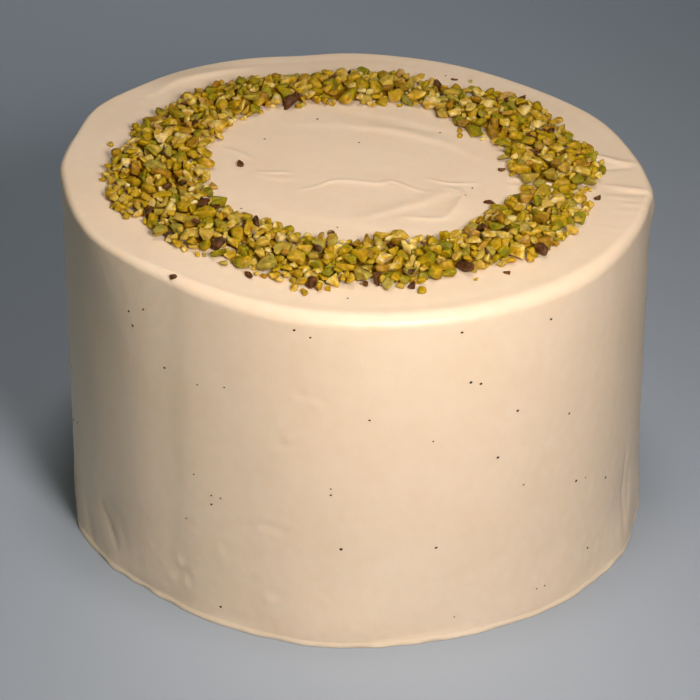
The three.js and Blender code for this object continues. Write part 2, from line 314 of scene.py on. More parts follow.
# ---- meshes ----
def mesh_object(name, points, faces, smooth=True):
    mesh = bpy.data.meshes.new(name)
    mesh.from_pydata([tuple(p) for p in points], [], faces)
    mesh.polygons.foreach_set("use_smooth", [smooth] * len(mesh.polygons))
    mesh.update()
    obj = bpy.data.objects.new(name, mesh)
    bpy.context.scene.collection.objects.link(obj)
    return obj


def ring_pairs(around):
    """Each point of a ring with the one that follows it."""
    return [(j, (j + 1) % around) for j in range(around)]


def lathe_faces(rings, around):
    """Quads between neighbouring rings of points, and a fan at the first and the last point."""
    pairs = ring_pairs(around)
    faces = [(0, 1 + following, 1 + j) for j, following in pairs]
    for i in range(rings - 1):
        low, high = 1 + i * around, 1 + (i + 1) * around
        faces += [(low + j, low + following, high + following, high + j)
                  for j, following in pairs]
    top, last_point = 1 + (rings - 1) * around, 1 + rings * around
    faces += [(top + j, top + following, last_point) for j, following in pairs]
    return faces


def edge_rounding(bearing):
    """The frosted edge is rounder at the front and almost crisp at the sides and the back."""
    return 2.0 + 2.1 * smooth_step((np.cos(bearing + degrees(75)) - 0.3) / 0.6)


def cake_profile(edge):
    """Radius and height of the plain cake's rings, from the underside's middle to the top's, for
    an edge of so much rounding."""
    profile = [(share * CAKE_RADIUS, 0.0) for share in (0.35, 0.7, 0.95)]
    profile += [(CAKE_RADIUS + out, z) for out, z in FOOT]
    edge_start = CAKE_HEIGHT - edge
    for share in np.linspace(0, 1, WALL_RINGS):
        profile.append((CAKE_RADIUS, FOOT_HEIGHT + share * (edge_start - FOOT_HEIGHT)))
    for angle in np.linspace(0, np.pi / 2, EDGE_RINGS)[1:]:
        radius = CAKE_RADIUS - edge * (1 - math.cos(angle))
        profile.append((radius, edge_start + edge * math.sin(angle)))
    for share in np.linspace(1, 0, TOP_RINGS)[1:]:
        profile.append((1.0 + share * (CAKE_RADIUS - edge - 1.0), CAKE_HEIGHT))
    return profile


def frosted_cake():
    turns = np.linspace(0, 2 * np.pi, CAKE_AROUND, endpoint=False)
    profile = cake_profile(edge_rounding(turns))
    rings = [np.column_stack([r * np.cos(turns), r * np.sin(turns), z + 0 * turns])
             for r, z in profile]
    points = np.vstack([[[0, 0, 0]], *rings, [[0, 0, CAKE_HEIGHT]]])
    return uneven_cake(points), lathe_faces(len(profile), CAKE_AROUND)


def place_on_frame(points):
    """Where the model's cake stands: its own box is centred on the origin."""
    low, high = points.min(0), points.max(0)
    node_low, node_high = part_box("frosted_cake")
    size = np.array(node_high - node_low)[:2] / MM
    shrink = float(min(1.0, (size / (high - low)[:2]).min()))
    middle = (low + high)[:2] / 2
    return middle, shrink


cake_points, cake_faces = frosted_cake()
CAKE_MIDDLE, CAKE_SHRINK = place_on_frame(cake_points)


def to_frame(points):
    """From the cake's own millimetres to the frame's metres."""
    placed = np.array(points, float)
    placed[:, :2] = (placed[:, :2] - CAKE_MIDDLE) * CAKE_SHRINK
    return placed * MM


def top_level(x, y):
    return CAKE_HEIGHT + top_rise(x, y) + fine_top(x, y)


def on_top(x, y, above):
    """A place on the top, or above it, in the cake's own millimetres."""
    return np.column_stack([x + LEAN * CAKE_HEIGHT, y, top_level(x, y) + above])


# ---- materials ----
def srgb(code):
    """A hex colour as the shader's linear values."""
    parts = [int(code[i:i + 2], 16) / 255 for i in (1, 3, 5)]
    line = [p / 12.92 if p <= 0.04045 else ((p + 0.055) / 1.055) ** 2.4 for p in parts]
    return (*line, 1.0)


def add(tree, kind, inputs=None, stops=(), **settings):
    """Adds a node, with its settings and a colour ramp's stops, and links or sets its inputs."""
    made = tree.nodes.new(kind)
    for name, value in settings.items():
        setattr(made, name, value)
    if stops:
        elements = made.color_ramp.elements
        while len(elements) < len(stops):
            elements.new(0.5)
        for element, (position, code) in zip(elements, stops):
            element.position = position
            element.color = srgb(code)
    for name, value in (inputs or {}).items():
        socket = made.inputs[name]
        if isinstance(value, bpy.types.NodeSocket):
            tree.links.new(value, socket)
        else:
            socket.default_value = value
    return made


def new_material(name):
    material = bpy.data.materials.new(name)
    material.use_nodes = True
    material.node_tree.nodes.clear()
    return material, material.node_tree


def per_mm(size):
    """A texture's scale for a pattern whose grain is this many millimetres."""
    return 1 / (size * MM)


# The colour mixer's sockets go by number, as their names repeat: 0 is the share, 6 and 7 are the
# colours, and 2 is the mixed colour.


def whipped_cream():
    """Whipped cream frosting smoothed with a knife: dense, fine-pored, satin, a little
    translucent, and warmer in tone where it is thin."""
    material, tree = new_material("whipped_cream")
    place = add(tree, "ShaderNodeTexCoord").outputs["Object"]
    # Broad clouds of slightly yellower and pinker cream, about 30 mm across, a faint mottle
    # that the knife leaves, over about 4 mm, and pores left by the whisk, about 0.9 mm.
    clouds, mottle, pores = (
        add(tree, "ShaderNodeTexNoise",
            {"Vector": place, "Scale": per_mm(size), "Detail": detail}).outputs["Fac"]
        for size, detail in ((30, 3.0), (4, 4.0), (0.9, 2.0)))
    tone = add(tree, "ShaderNodeValToRGB", {"Fac": clouds},
               stops=[(0.3, "#E6D0B8"), (0.7, "#EAD6C0")]).outputs["Color"]
    mottled = add(tree, "ShaderNodeValToRGB", {"Fac": mottle},
                  stops=[(0.35, "#F8F4EC"), (0.65, "#FFFFFF")]).outputs["Color"]
    colour = add(tree, "ShaderNodeMix", {0: 0.3, 6: tone, 7: mottled},
                 data_type="RGBA", blend_type="MULTIPLY").outputs[2]
    rough = add(tree, "ShaderNodeMapRange", {"Value": mottle, "To Min": 0.36, "To Max": 0.46})
    soft = add(tree, "ShaderNodeBump",
               {"Height": mottle, "Strength": 0.2, "Distance": 0.25 * MM})
    fine = add(tree, "ShaderNodeBump",
               {"Height": pores, "Normal": soft.outputs["Normal"],
                "Strength": 0.3, "Distance": 0.08 * MM})
    shader = add(tree, "ShaderNodeBsdfPrincipled", {
        "Base Color": colour, "Roughness": rough.outputs["Result"], "IOR": 1.45,
        "Normal": fine.outputs["Normal"], "Subsurface Weight": 0.35,
        "Subsurface Radius": (1.0, 0.7, 0.5), "Subsurface Scale": 2.2 * MM,
    })
    add(tree, "ShaderNodeOutputMaterial", {"Surface": shader.outputs["BSDF"]})
    return material


# Flesh from the ivory heart through yellow and olive to the green under the skin.
FLESH = [(0.0, "#DECA90"), (0.14, "#CEB456"), (0.30, "#BC9A26"), (0.46, "#B0920E"),
         (0.62, "#A48A0E"), (0.80, "#928610"), (1.0, "#7E7A12")]


def pistachio(name, first, last, dark_share):
    """Chopped pistachio kernel: yellow inside, green towards its outside, where the papery
    purple-brown skin may still cling; matt and mealy where it broke, slightly oily. Its tones
    lie between the first and the last place in the scale of flesh."""
    material, tree = new_material(name)
    place = add(tree, "ShaderNodeTexCoord").outputs["Object"]
    tone, ripe, depth = (add(tree, "ShaderNodeAttribute", attribute_name=name).outputs["Fac"]
                         for name in ("tone", "ripe", "depth"))
    own = add(tree, "ShaderNodeMath", {0: ripe, 1: 40.0}, operation="MULTIPLY").outputs[0]
    # The broken face is mealy, with a grain of 1.3 mm. Green and yellow flow into each other
    # within a piece, over 2.4 mm.
    mealy, veins = (
        add(tree, "ShaderNodeTexNoise",
            {"Vector": place, "W": own, "Scale": per_mm(size), "Detail": detail},
            noise_dimensions="4D").outputs["Fac"]
        for size, detail in ((1.3, 4.0), (2.4, 2.0)))
    # Shares: of which value, between which of its values, and from how much to how much. One
    # piece in nine has turned golden brown, and one in four is dusted with its own pale meal.
    shares = {
        "start": (tone, 0.0, 1.0, first, last),
        "flow": (veins, 0.3, 0.7, -0.28, 0.28),
        "outward": (depth, 0.6, 1.0, -0.04, 0.26),
        "browned": (ripe, 0.13, 0.09, 0.0, 0.6),
        "dusted": (ripe, 0.68, 0.8, 0.0, 0.36),
        "skin_near": (depth, 1 - 0.55 * dark_share - 0.04, 1 - 0.42 * dark_share - 0.01, 0.0, 1.0),
        "skin_ripe": (ripe, 1 - dark_share - 0.02, 1 - dark_share, 0.0, 1.0),
        "rough": (mealy, 0.0, 1.0, 0.34, 0.6),
    }
    sockets = ("Value", "From Min", "From Max", "To Min", "To Max")
    for name, values in shares.items():
        mapped = add(tree, "ShaderNodeMapRange", dict(zip(sockets, values)))
        shares[name] = mapped.outputs["Result"]
    total = add(tree, "ShaderNodeMath", {0: shares["start"], 1: shares["flow"]},
                operation="ADD").outputs[0]
    total = add(tree, "ShaderNodeMath", {0: total, 1: shares["outward"]},
                operation="ADD").outputs[0]
    body = add(tree, "ShaderNodeValToRGB", {"Fac": total}, stops=FLESH).outputs["Color"]
    for share, code in (("browned", "#94661A"), ("dusted", "#C8B468")):
        body = add(tree, "ShaderNodeMix", {0: shares[share], 6: body, 7: srgb(code)},
                   data_type="RGBA").outputs[2]
    mottled = add(tree, "ShaderNodeValToRGB", {"Fac": mealy},
                  stops=[(0.32, "#B8945A"), (0.6, "#FFFFFF")]).outputs["Color"]
    body = add(tree, "ShaderNodeMix", {0: 0.65, 6: body, 7: mottled},
               data_type="RGBA", blend_type="MULTIPLY").outputs[2]
    skin_tone = add(tree, "ShaderNodeValToRGB", {"Fac": mealy},
                    stops=[(0.35, "#36200F"), (0.65, "#684020")]).outputs["Color"]
    skin = add(tree, "ShaderNodeMath", {0: shares["skin_near"], 1: shares["skin_ripe"]},
               operation="MULTIPLY").outputs["Value"]
    colour = add(tree, "ShaderNodeMix", {0: skin, 6: body, 7: skin_tone},
                 data_type="RGBA").outputs[2]
    bump = add(tree, "ShaderNodeBump",
               {"Height": mealy, "Strength": 0.6, "Distance": 0.3 * MM})
    shader = add(tree, "ShaderNodeBsdfPrincipled", {
        "Base Color": colour, "Roughness": shares["rough"], "IOR": 1.46,
        "Specular IOR Level": 0.2, "Normal": bump.outputs["Normal"],
        "Subsurface Weight": 0.9, "Subsurface Radius": (1.0, 0.8, 0.2),
        "Subsurface Scale": 2.0 * MM,
    })
    add(tree, "ShaderNodeOutputMaterial", {"Surface": shader.outputs["BSDF"]})
    return material


def two_toned(name, size, first, last, roughness):
    """A plain surface whose colour drifts between two tones, over so many millimetres."""
    material, tree = new_material(name)
    place = add(tree, "ShaderNodeTexCoord").outputs["Object"]
    drift = add(tree, "ShaderNodeTexNoise", {"Vector": place, "Scale": per_mm(size)})
    colour = add(tree, "ShaderNodeValToRGB", {"Fac": drift.outputs["Fac"]},
                 stops=[(0.3, first), (0.7, last)]).outputs["Color"]
    shader = add(tree, "ShaderNodeBsdfPrincipled",
                 {"Base Color": colour, "Roughness": roughness})
    add(tree, "ShaderNodeOutputMaterial", {"Surface": shader.outputs["BSDF"]})
    return material


def vanilla_seed():
    """Vanilla seeds: tiny dark brown grains with a dull sheen. They are drawn up to 1 mm long,
    coarser than real ones, so that they show."""
    return two_toned("vanilla_seed", 0.4, "#1E140E", "#443022", 0.5)


def table_top():
    """The plain pale surface that the cake stands on: smooth and matt, cool grey."""
    return two_toned("table_top", 400, "#9CA6B5", "#A1ABBA", 0.6)


# ---- chopped pieces: what they look like one by one ----
KERNEL = np.array([8.0, 4.7, 4.2])  # half axes of a shelled pistachio


def lying_turn(rng):
    """Lying on either of its flat sides, more or less tipped, and facing any way."""
    tip = rng.choice([0.3, 0.7, 1.2])
    over = np.pi * rng.integers(2)
    return (over + tip * rng.normal(), 0.8 * tip * rng.normal(), rng.uniform(-np.pi, np.pi))


def unit(vectors):
    return vectors / np.linalg.norm(vectors, axis=-1, keepdims=True)


def evenly_spread_ways():
    bm = bmesh.new()
    bmesh.ops.create_icosphere(bm, subdivisions=2, radius=1.0)
    ways = unit(np.array([v.co for v in bm.verts]))
    bm.free()
    return ways


SPREAD_WAYS = evenly_spread_ways()


def corner_points(normals, reaches):
    """The corners of the solid that lies between flat faces."""
    threes = np.array(list(itertools.combinations(range(len(normals)), 3)))
    threes = threes[np.abs(np.linalg.det(normals[threes])) > 0.05]
    spots = np.linalg.solve(normals[threes], reaches[threes][:, :, None])[:, :, 0]
    return spots[(spots @ normals.T <= reaches + 1e-6).all(1)]


def chopped_piece(name, rng, length, flat, thin, outside, corners=7, fine=True):
    """A bit of kernel between chopped faces: longest along x and thinnest along z. Where it
    reaches the kernel's outside it keeps that round face. Its points store how near the
    outside they are. A crumb isn't fine: its round face is plainer."""
    middle = unit(rng.normal(size=3)) * KERNEL * outside
    halves = np.array([1.0, rng.uniform(*flat), rng.uniform(*thin)]) * length / 2
    normals, reaches = [], []
    for axis in range(3):
        for side in (-1, 1):
            normals.append(unit(side * np.eye(3)[axis] + rng.normal(size=3) * 0.25))
            reaches.append(halves[axis] * rng.uniform(0.75, 1.1))
    for _ in range(corners):
        way = unit(rng.normal(size=3))
        normals.append(way)
        reaches.append(np.linalg.norm(way * halves) * rng.uniform(0.75, 1.0))
    for _ in range(10 if fine else 4):
        way = unit(unit(middle + 1e-6) + rng.normal(size=3) * 0.45)
        normals.append(way)
        reaches.append(max(np.linalg.norm(KERNEL * way) - middle @ way, 0.2 * length))
    spots = corner_points(np.array(normals), np.array(reaches))
    # No corner juts out further than a chopped bit would hold together.
    spots *= np.minimum(1, 0.6 * length / np.linalg.norm(spots, axis=1))[:, None]
    bm = bmesh.new()
    for spot in spots:
        bm.verts.new(spot)
    bmesh.ops.remove_doubles(bm, verts=bm.verts, dist=0.12)
    hull = bmesh.ops.convex_hull(bm, input=bm.verts)
    bmesh.ops.delete(bm, geom=[g for g in hull["geom_interior"] if g.is_valid], context="VERTS")
    bmesh.ops.dissolve_limit(
        bm, angle_limit=degrees(4), verts=bm.verts, edges=bm.edges, delimit=set())
    bmesh.ops.bevel(bm, geom=bm.edges[:], offset=0.08 * length, segments=1,
                    profile=0.5, affect="EDGES", clamp_overlap=True)
    bmesh.ops.remove_doubles(bm, verts=bm.verts, dist=0.05)
    # Every broader face breaks a little in or out around its middle.
    broad = [face for face in bm.faces if face.calc_area() > (0.25 * length) ** 2]
    centres = bmesh.ops.poke(bm, faces=broad, offset=0.0)["verts"]
    for vert in centres:
        vert.co += vert.normal * rng.uniform(-0.1, 0.05) * length
    bmesh.ops.triangulate(bm, faces=bm.faces)
    for vert in bm.verts:
        vert.co += Vector(rng.normal(size=3) * 0.024 * length)
    bmesh.ops.smooth_vert(bm, verts=bm.verts, factor=0.4, use_axis_x=True, use_axis_y=True,
                          use_axis_z=True)
    bmesh.ops.recalc_face_normals(bm, faces=bm.faces)
    mesh = bpy.data.meshes.new(name)
    bm.to_mesh(mesh)
    bm.free()
    spots = np.array([v.co for v in mesh.vertices])
    depth = np.sqrt((((middle + spots) / KERNEL) ** 2).sum(1))
    mesh.attributes.new("depth", "FLOAT", "POINT").data.foreach_set("value", depth)
    mesh.polygons.foreach_set("use_smooth", [True] * len(mesh.polygons))
    mesh.set_sharp_from_angle(angle=degrees(52))
    return bpy.data.objects.new(name, mesh)


def bounding_planes(obj):
    """Flat faces that bound a piece: their outward normals and distances from its middle, and
    how far its furthest corner is from there."""
    spots = np.array([v.co for v in obj.data.vertices])
    reach = np.linalg.norm(spots, axis=1).max()
    return SPREAD_WAYS, (spots @ SPREAD_WAYS.T).max(0), reach


# ---- the heap: each piece falls on what is there already ----
GRID_STEP = 0.5
GRID_REACH = 84.0
SINK = 0.3  # how far pieces press into each other or into the cream
EDGE_ROUNDING = 5.0  # how wide the rim's rounding is taken to be for a bit that lies on it


def fullness(bearing):
    """How full the wreath is: it thins out at the right, the back right and the front left."""
    full = 1.0
    for place, spread, share in ((-8, 0.12, 0.42), (72, 0.2, 0.15), (-126, 0.1, 0.2)):
        full = full - share * np.exp(-((angle_from(bearing, degrees(place)) / spread) ** 2))
    return full


# Where nuts were strewn further out or in than elsewhere: bearing, half width, and how far.
INNER_STRAYS = [(-73, 9, -6.5), (-123, 10, -4), (-148, 10, 2.5), (-15, 8, 4), (92, 12, -4),
                (160, 7, -2.5)]
OUTER_STRAYS = [(-165, 11, 3), (-148, 5, -3), (-100, 5, 4.5), (-80, 4, 2.5), (-44, 10, 4),
                (-9, 6, -3), (61, 6, -4), (110, 6, 2.5), (170, 5, -3)]


def wreath_inner(bearing):
    oval = -1.5 * np.cos(2 * bearing) - 0.8 * np.sin(2 * bearing)
    ripple = 0.9 * np.sin(5 * bearing + 0.8) + 0.7 * np.sin(11 * bearing + 2.1)
    full = WREATH_INNER + oval + ripple + 3 * (1 - fullness(bearing))
    return full + strayed(bearing, INNER_STRAYS)


def wreath_outer(bearing):
    oval = 2 * np.cos(2 * bearing) + 2 * np.sin(2 * bearing) - 1.2 * np.sin(bearing)
    ripple = 0.7 * np.sin(5 * bearing + 2.6) + 0.7 * np.sin(9 * bearing + 0.4)
    full = WREATH_OUTER + oval + ripple - 3 * (1 - fullness(bearing))
    return full + strayed(bearing, OUTER_STRAYS)


def lumps(share, bearing):
    return 1 + 0.14 * np.sin(8 * bearing + 1.7) + 0.1 * np.sin(17 * bearing + 4 * share)


def arch(share):
    return np.sqrt(np.clip(1 - np.abs(2 * share - 1) ** 3, 0, 1))


def pile_height(share, bearing):
    """How high the heap is at a share of the way from its inner to its outer edge: one piece
    lying flat at the edges, two or three deep in between."""
    height = EDGE_HEIGHT + (PILE_HEIGHT - EDGE_HEIGHT) * arch(share)
    return height * lumps(share, bearing) * fullness(bearing)


def bed_height(share, bearing):
    """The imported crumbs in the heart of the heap. They end inside both its edges."""
    across = (share - BED_INSET) / BED_WIDTH
    height = BED_HEIGHT * arch(across) * lumps(across, bearing)
    return height * (across > 0) * (across < 1) - 4 * (1 - fullness(bearing))


def grid_cell(value):
    return int(round((value + GRID_REACH) / GRID_STEP))


class Heap:
    """A height map of the top, on which pieces are set down one after another."""

    def __init__(self, ceiling):
        line = np.arange(-GRID_REACH, GRID_REACH + GRID_STEP, GRID_STEP)
        x, y = np.meshgrid(line, line, indexing="ij")
        past_flat = np.clip(np.hypot(x, y) - CAKE_RADIUS + EDGE_ROUNDING, 0, EDGE_ROUNDING)
        self.bare = top_level(x, y) - EDGE_ROUNDING + np.sqrt(EDGE_ROUNDING**2 - past_flat**2)
        bearing = np.arctan2(y, x)
        inner, outer = wreath_inner(bearing), wreath_outer(bearing)
        share = (np.hypot(x, y) - inner) / (outer - inner)
        self.ground = self.bare + np.maximum(bed_height(share, bearing), 0)
        self.ceiling = ceiling

    def piled(self, x, y):
        i, j = grid_cell(x), grid_cell(y)
        return self.ground[i, j] - self.bare[i, j]

    def rest(self, bounds, turn, size, x, y):
        """How high the piece's middle comes to rest, and the cells that it covers."""
        normals = bounds[0] @ np.array(Euler(turn).to_matrix()).T
        offsets = bounds[1] * size
        half = int(math.ceil(bounds[2] * size / GRID_STEP))
        i, j = grid_cell(x), grid_cell(y)
        cells = np.arange(-half, half + 1)
        px = ((i + cells) * GRID_STEP - GRID_REACH - x)[:, None]
        py = ((j + cells) * GRID_STEP - GRID_REACH - y)[None, :]
        side = offsets[:, None, None] - normals[:, 0, None, None] * px
        side = side - normals[:, 1, None, None] * py
        nz = normals[:, 2]
        above, below = nz > 0.05, nz < -0.05
        upper = (side[above] / nz[above][:, None, None]).min(0)
        lower = (side[below] / nz[below][:, None, None]).max(0)
        inside = (upper > lower) & (side[~above & ~below] >= 0).all(0)
        if not inside.any():
            return None
        patch = self.ground[i - half:i + half + 1, j - half:j + half + 1]
        level = (patch[inside] - lower[inside]).max()
        return level, patch, inside, upper

    def settle(self, bounds, size, places, rng, proud):
        """Tries the piece at each place, some way round, and keeps the one where it lies
        deepest below the height that the heap is to have there. None may stand proud of it by
        more than so much."""
        best = None
        for x, y, aimed in places:
            turn = lying_turn(rng)
            found = self.rest(bounds, turn, size, x, y)
            if found is None:
                continue
            level, patch, inside, upper = found
            peak = level + upper[inside].max()
            excess = peak - self.bare[grid_cell(x), grid_cell(y)] - aimed
            if peak < self.ceiling and (best is None or excess < best[0]):
                best = (excess, x, y, turn, found)
        if best is None or best[0] > proud:
            return None
        _, x, y, turn, (level, patch, inside, upper) = best
        level -= SINK
        patch[inside] = np.maximum(patch[inside], level + upper[inside])
        return x + LEAN * CAKE_HEIGHT, y, level, turn, size


def emptiest_place(rng, heap, looks, overhang):
    """Looks at several places in the wreath and takes the one that lacks the most height."""
    best = None
    while best is None or looks > 0:
        looks -= 1
        bearing = rng.uniform(-np.pi, np.pi)
        inner, outer = wreath_inner(bearing), wreath_outer(bearing)
        share = rng.uniform(-overhang, 1 + overhang)
        radius = inner + share * (outer - inner)
        if rng.uniform() > fullness(bearing) * radius / outer:
            continue
        x, y = radius * math.cos(bearing), radius * math.sin(bearing)
        aimed = pile_height(share, bearing)
        lack = aimed - heap.piled(x, y)
        if best is None or lack > best[0]:
            best = (lack, x, y, aimed)
    return best[1:]


# ---- Geometry Nodes: one of the pieces on every point ----
def scatter_tree():
    """On each point stands the piece that its 'kind' names, turned and sized by the point's
    own values. Two random tones per piece come from the seed."""
    tree = bpy.data.node_groups.new("scatter_pieces", "GeometryNodeTree")
    for name, kind in (("Points", "Geometry"), ("Pieces", "Collection"), ("Size", "Float"),
                       ("Tone Seed", "Int"), ("Finish", "Material")):
        tree.interface.new_socket(name, in_out="INPUT", socket_type="NodeSocket" + kind)
    tree.interface.new_socket("Geometry", in_out="OUTPUT", socket_type="NodeSocketGeometry")
    start = add(tree, "NodeGroupInput").outputs
    kind, turn, size = (
        add(tree, "GeometryNodeInputNamedAttribute", {"Name": name},
            data_type=kind).outputs["Attribute"]
        for name, kind in (("kind", "INT"), ("turn", "FLOAT_VECTOR"), ("size", "FLOAT")))
    pieces = add(tree, "GeometryNodeCollectionInfo",
                 {"Collection": start["Pieces"], "Separate Children": True,
                  "Reset Children": True})
    spin = add(tree, "FunctionNodeEulerToRotation", {"Euler": turn})
    scale = add(tree, "ShaderNodeMath", {0: size, 1: start["Size"]}, operation="MULTIPLY")
    stand = add(tree, "GeometryNodeInstanceOnPoints", {
        "Points": start["Points"], "Instance": pieces.outputs["Instances"],
        "Pick Instance": True, "Instance Index": kind,
        "Rotation": spin.outputs["Rotation"], "Scale": scale.outputs["Value"]})
    shaded = stand.outputs["Instances"]
    next_seed = add(tree, "ShaderNodeMath", {0: start["Tone Seed"], 1: 1.0}, operation="ADD")
    for name, seed in (("tone", start["Tone Seed"]), ("ripe", next_seed.outputs["Value"])):
        draw = add(tree, "FunctionNodeRandomValue", {"Seed": seed}, data_type="FLOAT")
        store = add(tree, "GeometryNodeStoreNamedAttribute",
                    {"Geometry": shaded, "Name": name, "Value": draw.outputs[1]},
                    data_type="FLOAT", domain="INSTANCE")
        shaded = store.outputs["Geometry"]
    real = add(tree, "GeometryNodeRealizeInstances", {"Geometry": shaded})
    finish = add(tree, "GeometryNodeSetMaterial",
                 {"Geometry": real.outputs["Geometry"], "Material": start["Finish"]})
    add(tree, "NodeGroupOutput", {"Geometry": finish.outputs["Geometry"]})
    return tree


SCATTER = scatter_tree()


def scatter(name, rows, pieces, finish, seed):
    """One mesh with a piece for each row: kind, x, y, z, turn and size, in the cake's mm."""
    spots = np.array([row[1:4] for row in rows], float)
    points = mesh_object(name, to_frame(spots), [])
    for value, kind, field, column in (("kind", "INT", "value", 0),
                                       ("turn", "FLOAT_VECTOR", "vector", 4),
                                       ("size", "FLOAT", "value", 5)):
        stored = points.data.attributes.new(value, kind, "POINT")
        values = np.array([row[column] for row in rows])
        stored.data.foreach_set(
            field, values.astype(np.int32 if kind == "INT" else np.float32).ravel())
    group = bpy.data.collections.new(name + "_pieces")
    bpy.context.scene.collection.children.link(group)
    for piece in pieces:
        group.objects.link(piece)
    modifier = points.modifiers.new("scatter", "NODES")
    modifier.node_group = SCATTER
    inputs = {item.name: item.identifier for item in SCATTER.interface.items_tree
              if item.in_out == "INPUT"}
    modifier[inputs["Pieces"]] = group
    modifier[inputs["Size"]] = MM
    modifier[inputs["Tone Seed"]] = seed
    modifier[inputs["Finish"]] = finish
    bpy.context.view_layer.update()
    shown = points.evaluated_get(bpy.context.evaluated_depsgraph_get())
    made = bpy.data.meshes.new_from_object(shown)
    points.modifiers.clear()
    points.data = made
    made.name = name
    bpy.data.collections.remove(group)
    return points


# ---- make everything ----
def make_cake():
    cake = mesh_object("cream_covered_cake", to_frame(cake_points), cake_faces)
    cake.data.materials.append(whipped_cream())
    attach(cake, "root")
    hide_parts("frosted_cake")


# Loose bits apart from the wreath: place, length, and what it is.
LOOSE_BITS = [
    (-51, -68, 2.8, "skin"), (-35, 1, 3.2, "skin"), (31, 30, 2.6, "yellow"),
    (31, 26, 2.4, "yellow"), (43, 4, 3.0, "skin"), (39, -18, 4.0, "skin"),
    (-74, 10, 2.6, "yellow"), (43, -60, 2.8, "skin"), (19, -72, 3.4, "yellow"),
    (30, 69, 2.4, "skin"), (35, 68, 2.0, "green"), (-7, -41, 3.4, "green"),
    (71, -12, 3.0, "skin"), (3, -69, 2.4, "skin"), (34, -64, 2.2, "yellow"),
]


def piece_kinds():
    """Each kind: several pieces of it, from the shortest to the longest."""
    rng = np.random.default_rng(5)
    kinds = {"yellow": [], "green": [], "skin": [], "crumb": []}
    for i in range(22):
        length = 4.2 + 3.8 * (i / 21) ** 1.6
        flat = (0.36, 0.5) if i % 5 == 2 else (0.58, 0.88)
        thin = (0.24, 0.38) if i % 4 == 0 else (0.42, 0.68)
        kinds["yellow"].append(chopped_piece(
            f"yellow_{i:02d}", rng, length, flat, thin, rng.uniform(0.0, 0.6)))
    for i in range(22):
        length = 4.4 + 5.2 * (i / 21) ** 1.8
        flat = (0.34, 0.48) if i % 4 == 1 else (0.52, 0.84)
        thin = (0.22, 0.36) if i % 4 == 2 else (0.38, 0.62)
        kinds["green"].append(chopped_piece(
            f"green_{i:02d}", rng, length, flat, thin, rng.uniform(0.45, 0.85)))
    for i in range(10):
        length = 3.2 + 3.2 * (i / 9) ** 2
        kinds["skin"].append(chopped_piece(
            f"skin_{i:02d}", rng, length, (0.45, 0.75), (0.28, 0.5), 0.85))
    for i in range(14):
        kinds["crumb"].append(chopped_piece(
            f"crumb_{i:02d}", rng, rng.uniform(1.6, 3.2), (0.6, 0.9), (0.45, 0.8),
            rng.uniform(0.2, 0.8), corners=3, fine=False))
    return kinds


# The heap is laid in rounds: how many pieces, how many places each is tried at, how many
# spots are looked at for such a place, how far past the edges, how proud a piece may stand,
# and the kinds' shares.
ROUNDS = [
    (190, 1, 1, 0.04, 2.0, {"crumb": 0.95, "skin": 0.05}),
    (640, 8, 3, 0.01, 0.9, {"yellow": 0.49, "green": 0.495, "skin": 0.015}),
    (900, 12, 6, 0.02, 1.0, {"yellow": 0.46, "green": 0.47, "skin": 0.02, "crumb": 0.05}),
    (60, 3, 2, -0.1, 2.4, {"yellow": 0.4, "green": 0.57, "skin": 0.03}),
    (560, 12, 8, 0.02, 0.7, {"crumb": 0.98, "skin": 0.02}),
]


def lay_heap(kinds):
    """Rows for each kind: which piece, where, how turned and how large."""
    rng = np.random.default_rng(17)
    bounds = {name: [bounding_planes(obj) for obj in made] for name, made in kinds.items()}
    heap = Heap(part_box("pistachio_wreath")[1].z / MM - 0.15)
    rows = {name: [] for name in kinds}
    for x, y, length, name in LOOSE_BITS:
        which = int(rng.integers(len(kinds[name])))
        planes = bounds[name][which]
        placed = heap.settle(planes, length / 2 / planes[2], [(x, y, 0.0)] * 8, rng, 9)
        rows[name].append((which, *placed))
    for count, tries, looks, overhang, proud, shares in ROUNDS:
        names, weights = list(shares), list(shares.values())
        for _ in range(count):
            name = names[int(rng.choice(len(names), p=weights))]
            which = int(rng.integers(len(kinds[name])))
            places = [emptiest_place(rng, heap, looks, overhang) for _ in range(tries)]
            size = rng.uniform(0.8, 1.12)
            placed = heap.settle(bounds[name][which], size, places, rng, proud)
            if placed is not None:
                rows[name].append((which, *placed))
    return rows


def make_bed(finish):
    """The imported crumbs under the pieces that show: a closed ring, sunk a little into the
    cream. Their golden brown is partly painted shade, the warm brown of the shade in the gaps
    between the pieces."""
    around, across = 240, 14
    bearings = np.linspace(0, 2 * np.pi, around, endpoint=False)
    rng = np.random.default_rng(31)
    inner, outer = wreath_inner(bearings), wreath_outer(bearings)
    rings = []
    for i in range(across):
        share = BED_INSET + BED_WIDTH * i / (across - 1)
        radius = inner + share * (outer - inner)
        bumps = rng.uniform(-0.25, 0.25, around)
        above = bed_height(share, bearings) + bumps - 0.3
        rings.append(on_top(radius * np.cos(bearings), radius * np.sin(bearings), above))
    for share in (0.8, 0.2):
        radius = inner + share * (outer - inner)
        rings.append(on_top(radius * np.cos(bearings), radius * np.sin(bearings), -1.2))
    faces = []
    for i in range(len(rings)):
        low, high = i * around, (i + 1) % len(rings) * around
        faces += [(low + j, high + j, high + following, low + following)
                  for j, following in ring_pairs(around)]
    bed = mesh_object("pistachio_bed", to_frame(np.vstack(rings)), faces)
    # A ripe of nought browns the whole bed: partly real crumbs, partly painted shade, the warm
    # brown of the shadowed gaps between the pieces.
    for name, value in (("tone", 0.5), ("ripe", 0.0), ("depth", 0.8)):
        stored = bed.data.attributes.new(name, "FLOAT", "POINT")
        stored.data.foreach_set("value", [value] * len(bed.data.vertices))
    bed.data.materials.append(finish)
    return bed


